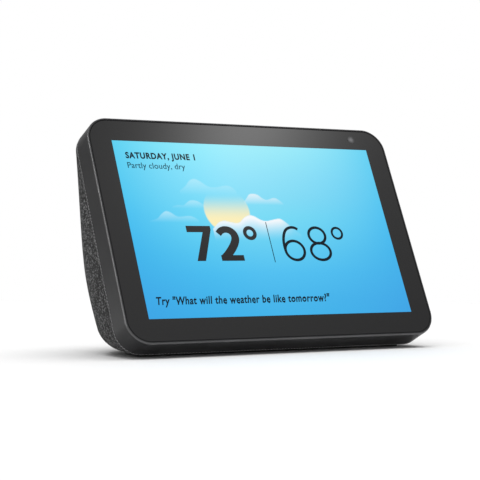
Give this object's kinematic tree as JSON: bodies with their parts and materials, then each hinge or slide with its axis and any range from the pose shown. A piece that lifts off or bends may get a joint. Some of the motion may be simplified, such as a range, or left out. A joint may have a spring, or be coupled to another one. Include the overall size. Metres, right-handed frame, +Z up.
{
  "type": "smart display",
  "caption": "Countertop touch screen that leans back on a fabric-covered speaker body, with top buttons, a sliding camera shutter and rear sockets.",
  "frame": {"origin": "on the table under the middle of the object's box", "axes": "+X along the screen's width to the viewer's right, screen facing -Y and leaning back, +Z up"},
  "size_m": [0.2004, 0.0991, 0.1304],
  "materials": {
    "charcoal_plastic": "satin moulded frame",
    "cover_glass": "gloss, black printed border",
    "lcd_glass": "lit screen",
    "black_plastic": "moulded",
    "charcoal_fabric": "heathered knit",
    "foot_rubber": "matt",
    "foam_tape": "matt",
    "steel": "stamped and turned",
    "aluminium": "extruded",
    "circuit_board": "solder mask",
    "ribbon": "polyimide film",
    "cone_paper": "pressed paper",
    "soft_surround": "moulded half roll",
    "lens_glass": "coated"
  },
  "bodies": {
    "chassis": {"antenna_left": "ribbon", "antenna_right": "ribbon", "audio_jack": "black_plastic", "backlight_tray": "steel", "base_plate": "black_plastic", "base_screw_1": "steel", "base_screw_2": "steel", "base_screw_3": "steel", "base_screw_4": "steel", "button_board": "circuit_board", "camera_lens": "lens_glass", "camera_module": "black_plastic", "camera_ribbon": "ribbon", "case_screw_1": "steel", "case_screw_2": "steel", "case_screw_3": "steel", "case_screw_4": "steel", "cover_glass": "cover_glass", "display_ribbon": "ribbon", "fabric_cover": "charcoal_fabric", "foot_pad": "foot_rubber", "front_frame": "charcoal_plastic", "glass_tape": "foam_tape", "heat_spreader": "aluminium", "lcd_panel": "lcd_glass", "left_driver_basket": "black_plastic", "left_driver_magnet": "steel", "left_driver_surround": "soft_surround", "mainboard": "circuit_board", "microphone_board_left": "circuit_board", "microphone_board_right": "circuit_board", "mid_plate": "steel", "port_board": "circuit_board", "port_plate": "black_plastic", "power_jack": "black_plastic", "processor_shield": "steel", "radiator_ring": "black_plastic", "radiator_surround": "soft_surround", "rear_housing": "black_plastic", "right_driver_basket": "black_plastic", "right_driver_magnet": "steel", "right_driver_surround": "soft_surround", "speaker_box": "black_plastic", "speaker_box_lid": "black_plastic", "speaker_lead_left": "black_plastic", "speaker_lead_right": "black_plastic", "usb_port": "steel"},
    "volume_up": {"volume_up_button": "charcoal_plastic", "volume_up_plunger": "black_plastic"},
    "volume_down": {"volume_down_button": "charcoal_plastic", "volume_down_plunger": "black_plastic"},
    "mic_camera_off": {"mic_camera_off_button": "charcoal_plastic", "mic_camera_off_plunger": "black_plastic"},
    "camera_shutter": {"shutter_slider": "charcoal_plastic", "shutter_blade": "black_plastic"},
    "left_cone": {"left_driver_cone": "cone_paper"},
    "right_cone": {"right_driver_cone": "cone_paper"},
    "bass_radiator": {"radiator_plate": "steel"}
  },
  "joints": [
    {"name": "volume_up_press", "type": "slide", "parent": "chassis", "child": "volume_up", "axis": [0, -0.4274, -0.9041], "range_m": [0, 0.0004], "stiffness_N_per_m": 1500},
    {"name": "volume_down_press", "type": "slide", "parent": "chassis", "child": "volume_down", "axis": [0, -0.4274, -0.9041], "range_m": [0, 0.0004], "stiffness_N_per_m": 1500},
    {"name": "mic_camera_off_press", "type": "slide", "parent": "chassis", "child": "mic_camera_off", "axis": [0, -0.4274, -0.9041], "range_m": [0, 0.0004], "stiffness_N_per_m": 1500},
    {"name": "shutter_slide", "type": "slide", "parent": "chassis", "child": "camera_shutter", "axis": [1, 0, 0], "range_m": [0, 0.005]},
    {"name": "left_cone_excursion", "type": "slide", "parent": "chassis", "child": "left_cone", "axis": [-0.2079, 0.9781, 0], "range_m": [-0.002, 0.002], "stiffness_N_per_m": 1200},
    {"name": "right_cone_excursion", "type": "slide", "parent": "chassis", "child": "right_cone", "axis": [0.2079, 0.9781, 0], "range_m": [-0.002, 0.002], "stiffness_N_per_m": 1200},
    {"name": "radiator_excursion", "type": "slide", "parent": "chassis", "child": "bass_radiator", "axis": [0, 1, 0], "range_m": [-0.003, 0.003], "stiffness_N_per_m": 900}
  ]
}
